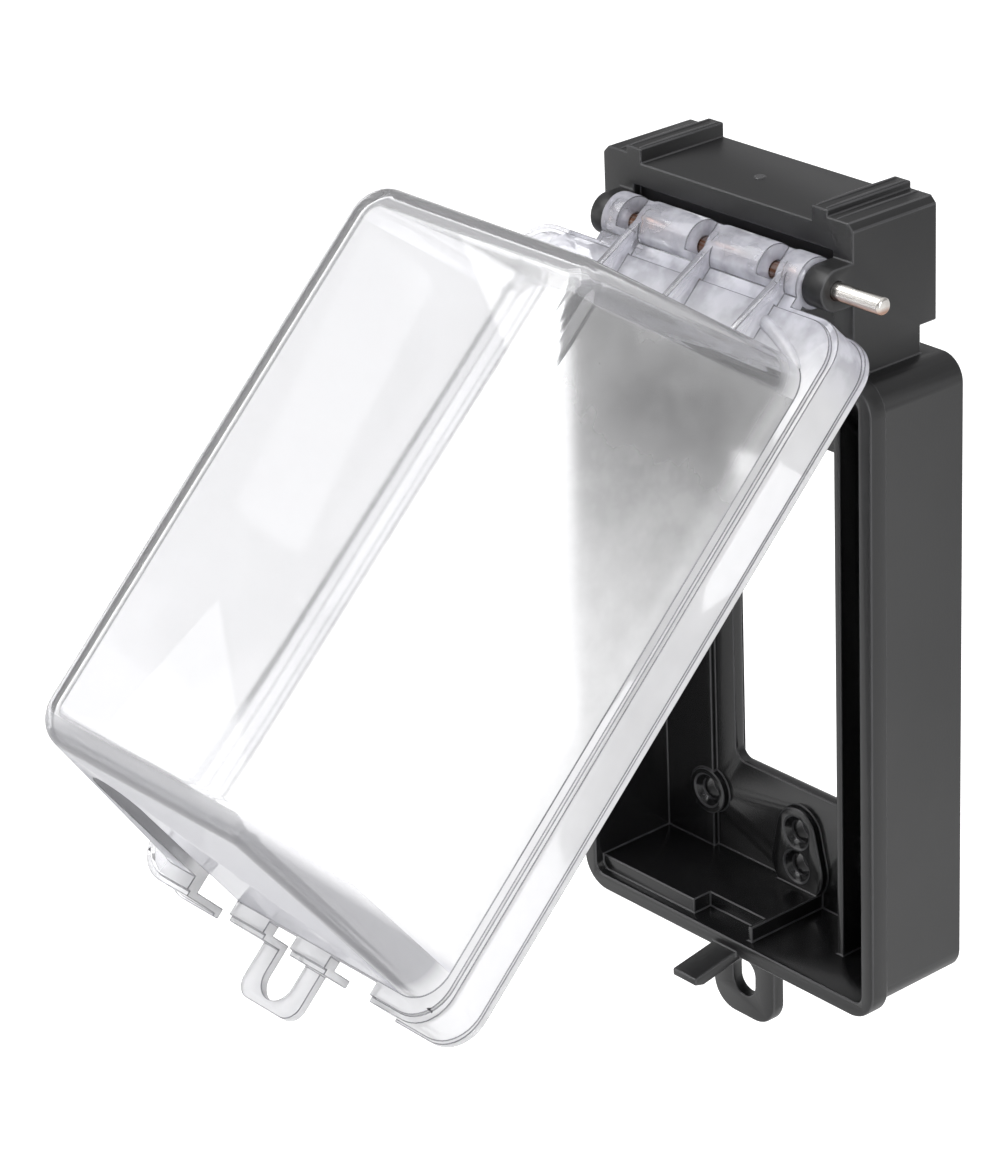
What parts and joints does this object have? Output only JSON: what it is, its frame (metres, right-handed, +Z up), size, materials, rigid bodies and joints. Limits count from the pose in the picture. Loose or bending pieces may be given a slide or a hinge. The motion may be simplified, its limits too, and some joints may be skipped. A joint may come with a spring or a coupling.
{
  "type": "outdoor outlet cover",
  "caption": "Black moulded housing that screws round an outdoor outlet, with a deep clear bubble lid hinged on a steel pin and standing open.",
  "frame": {"origin": "centre of the device screw pattern on the rear plane, where the cover meets its box and wall", "axes": "+X to the right of someone facing the cover, +Y into the wall, +Z up"},
  "size_m": [0.0785, 0.1426, 0.1635],
  "materials": {
    "black_plastic": "satin moulded black, slightly glossy inside",
    "clear_plastic": "clear moulding with finely frosted faces and polished edges",
    "pin_steel": "bright drawn steel pin",
    "foam_rubber": "closed-cell foam sheet, dull black"
  },
  "bodies": {
    "housing": {"base_housing": "black_plastic", "wall_gasket": "foam_rubber"},
    "cover": {"lid": "clear_plastic"},
    "pin": {"hinge_pin": "pin_steel"}
  },
  "joints": [
    {"name": "lid_hinge", "type": "hinge", "parent": "housing", "child": "cover", "pos_m": [0, -0.0225, 0.0732], "axis": [-1, 0, 0], "range_deg": [-45.8, 60]},
    {"name": "pin_slide", "type": "slide", "parent": "housing", "child": "pin", "axis": [1, 0, 0], "range_m": [0, 0.057]}
  ]
}
